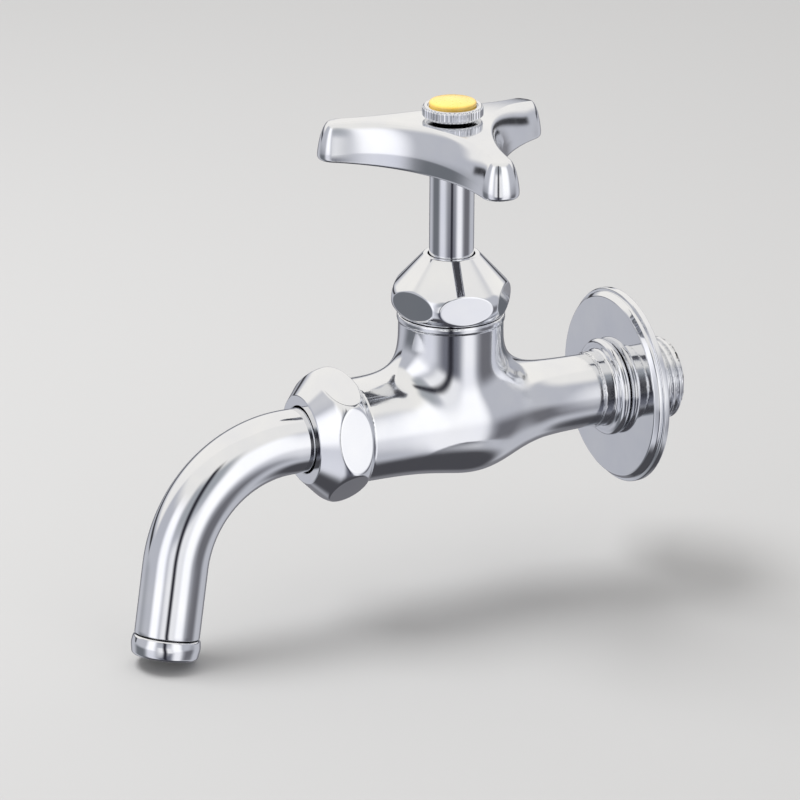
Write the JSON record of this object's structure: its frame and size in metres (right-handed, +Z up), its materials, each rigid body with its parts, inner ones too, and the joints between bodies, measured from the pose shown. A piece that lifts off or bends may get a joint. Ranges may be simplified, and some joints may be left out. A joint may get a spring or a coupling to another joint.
{
  "type": "wall tap",
  "caption": "Chrome wall tap with a three-armed handle on a rising spindle, a swivelling bent spout and a round wall flange.",
  "frame": {"origin": "on the inlet axis, in the plane of the wall flange's back face when the flange is seated", "axes": "+Y into the wall along the inlet axis, +Z up along the spindle; the spout points to -Y"},
  "size_m": [0.0579, 0.1512, 0.13],
  "materials": {
    "body_chrome": "mirror chrome plate over a polished casting",
    "nut_chrome": "mirror chrome plate over turned brass",
    "flange_chrome": "mirror chrome plate, flat polished face",
    "spindle_chrome": "mirror chrome plate over a turned shaft",
    "handle_chrome": "mirror chrome plate over a soft-edged casting",
    "screw_chrome": "mirror chrome plate over fine knurling",
    "pipe_chrome": "mirror chrome plate over drawn tube",
    "ring_chrome": "mirror chrome plate over a turned ring",
    "disc_yellow": "glossy warm yellow",
    "brass": "turned, unplated",
    "black_rubber": "moulded, matt",
    "white_plastic": "moulded acetal"
  },
  "bodies": {
    "tap_body": {"body": "body_chrome", "cap_nut": "nut_chrome", "packing_washer": "brass", "gland_packing": "black_rubber", "pipe_nut": "nut_chrome", "pipe_packing": "black_rubber"},
    "flange": {"wall_flange": "flange_chrome"},
    "jumper": {"jumper": "brass", "jumper_washer": "black_rubber", "jumper_nut": "brass"},
    "spindle": {"spindle": "spindle_chrome", "handle": "handle_chrome", "index_screw": "screw_chrome", "index_disc": "disc_yellow"},
    "spout": {"spout_pipe": "pipe_chrome", "pipe_ring": "white_plastic", "outlet_ring": "ring_chrome", "outlet_gasket": "black_rubber", "flow_straightener": "white_plastic"}
  },
  "joints": [
    {"name": "spindle_rise", "type": "slide", "parent": "tap_body", "child": "jumper", "axis": [0, 0, 1], "range_m": [0, 0.005]},
    {"name": "handle_turn", "type": "hinge", "parent": "jumper", "child": "spindle", "pos_m": [0, -0.0487, 0.04], "axis": [0, 0, 1], "range_deg": [0, 720]},
    {"name": "spout_swivel", "type": "hinge", "parent": "tap_body", "child": "spout", "pos_m": [0, -0.08, 0], "axis": [0, 1, 0], "continuous": true},
    {"name": "flange_slide", "type": "slide", "parent": "tap_body", "child": "flange", "axis": [0, 1, 0], "range_m": [0, 0.009]}
  ],
  "couplings": [
    {"joint": "handle_turn", "follows": "spindle_rise", "rad_per_m": 2513.3}
  ]
}
